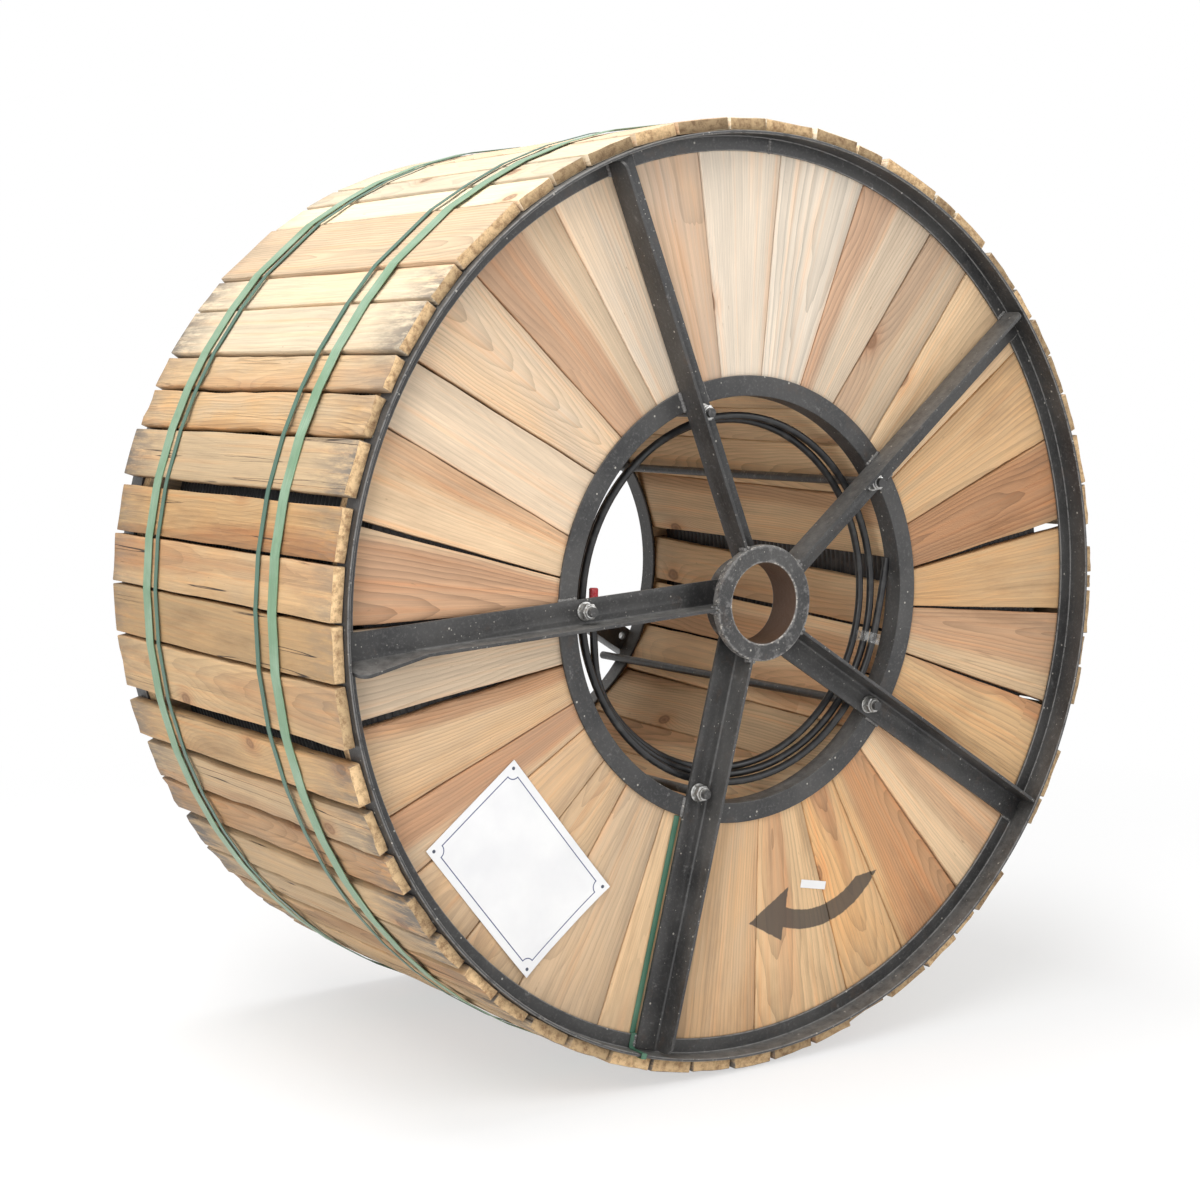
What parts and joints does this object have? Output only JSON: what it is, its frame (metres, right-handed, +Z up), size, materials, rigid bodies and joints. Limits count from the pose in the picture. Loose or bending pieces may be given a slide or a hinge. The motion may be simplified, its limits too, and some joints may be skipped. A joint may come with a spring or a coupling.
{
  "type": "reel of fiber optic cable",
  "caption": "Large steel and wood cable drum on its rim, wound full of black fibre optic cable and lagged with softwood boards under green straps.",
  "frame": {"origin": "on the spindle's axle line, half way between the two flanges", "axes": "+Y along the axle line from the front flange, with the sheet and the cable's inner end, to the back one; +Z up as it stands on its rim; +X to the right seen from the front"},
  "size_m": [1.2402, 0.685, 1.2399],
  "materials": {
    "steel": "worn satin",
    "zinc": "satin",
    "board": "rough sawn",
    "lagging": "rough sawn",
    "stave": "rough sawn",
    "cable": "satin",
    "cap": "satin",
    "tape": "clear",
    "strap_light": "semi-gloss",
    "strap_dark": "semi-gloss",
    "sheet": "matt"
  },
  "bodies": {
    "root": {"front_outer_ring": "steel", "front_inner_ring": "steel", "front_hub": "steel", "front_spokes": "steel", "front_flange_boards": "board", "back_outer_ring": "steel", "back_inner_ring": "steel", "back_hub": "steel", "back_spokes": "steel", "back_flange_boards": "board", "barrel_staves": "stave", "tie_rods": "zinc", "tie_rod_washers": "zinc", "tie_rod_nuts": "zinc", "cable_winding": "cable", "cable_end_coil": "cable", "cable_tail": "cable", "cable_end_cap": "cap", "coil_tie": "tape", "lagging_boards": "lagging", "wide_straps": "strap_light", "narrow_straps": "strap_dark", "loop_strap": "strap_dark", "placard": "sheet"}
  },
  "joints": []
}
